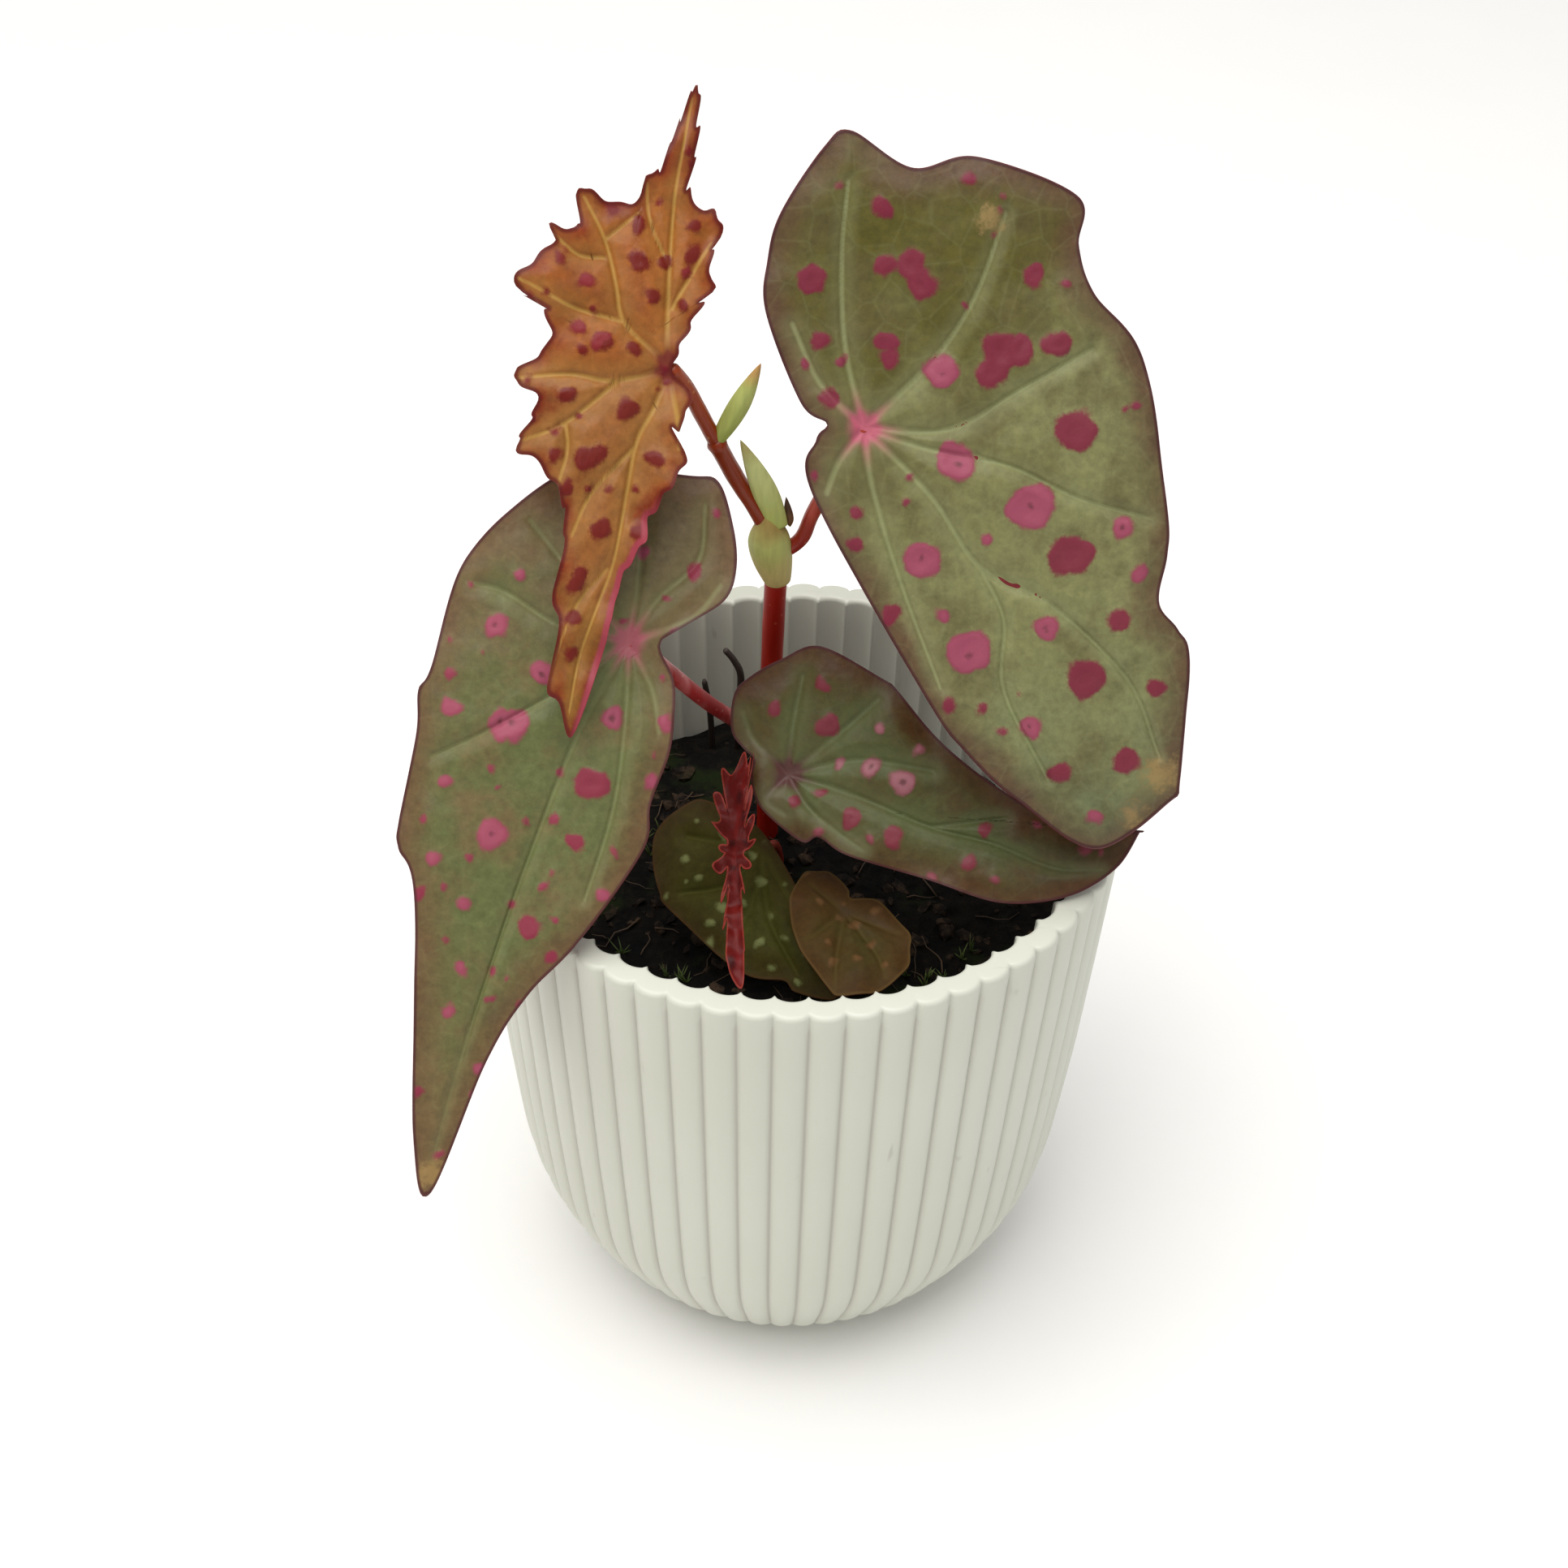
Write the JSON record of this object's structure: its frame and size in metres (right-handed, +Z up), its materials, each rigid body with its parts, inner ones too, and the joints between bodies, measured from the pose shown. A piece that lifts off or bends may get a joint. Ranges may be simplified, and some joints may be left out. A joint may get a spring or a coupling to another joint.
{
  "type": "potted begonia",
  "caption": "Small spotted cane begonia with wing-shaped olive, orange and red leaves on red stems, standing in a fluted off-white plastic pot filled with dark soil.",
  "frame": {"origin": "centre of the pot's flat base, on the surface it stands on", "axes": "+Z up the pot's axis, -Y towards the side that the leaves face, +X to the right seen from that side"},
  "size_m": [0.0939, 0.0958, 0.1695],
  "materials": {
    "pot_plastic": "satin off-white moulded polypropylene",
    "soil": "damp peat and bark potting mix, rough",
    "red_cane": "smooth fleshy deep red stem, slight sheen",
    "young_cane": "smooth fleshy orange-brown stem, slight sheen",
    "petiole": "smooth red leaf stalk, slight sheen",
    "stipule": "papery pale yellow-green, matt",
    "leaf_olive": "waxy olive blade with crimson and pink spots, satin",
    "leaf_orange": "waxy golden-orange blade with dark red margin and spots, satin",
    "leaf_red": "waxy bright red young blade, satin",
    "leaf_dark": "waxy dark olive-brown blade with pale spots, satin",
    "dry_twig": "dead blackened twig, matt"
  },
  "bodies": {
    "root": {"fluted_pot": "pot_plastic", "potting_soil": "soil", "main_cane": "red_cane", "upper_cane": "young_cane", "node_sheath": "stipule", "lower_stipule": "stipule", "bract_tip": "stipule", "upper_stipule_bud": "stipule", "petiole_large_leaf": "petiole", "petiole_orange_leaf": "petiole", "petiole_left_leaf": "petiole", "petiole_lower_leaf": "petiole", "petiole_red_leaf": "petiole", "petiole_green_leaflet": "petiole", "petiole_brown_leaflet": "petiole", "leaf_large_right": "leaf_olive", "leaf_left": "leaf_olive", "leaf_lower_right": "leaf_olive", "leaf_orange_young": "leaf_orange", "leaf_red_narrow": "leaf_red", "leaflet_green": "leaf_dark", "leaflet_brown": "leaf_dark", "dry_twig_tall": "dry_twig", "dry_twig_short": "dry_twig"}
  },
  "joints": []
}
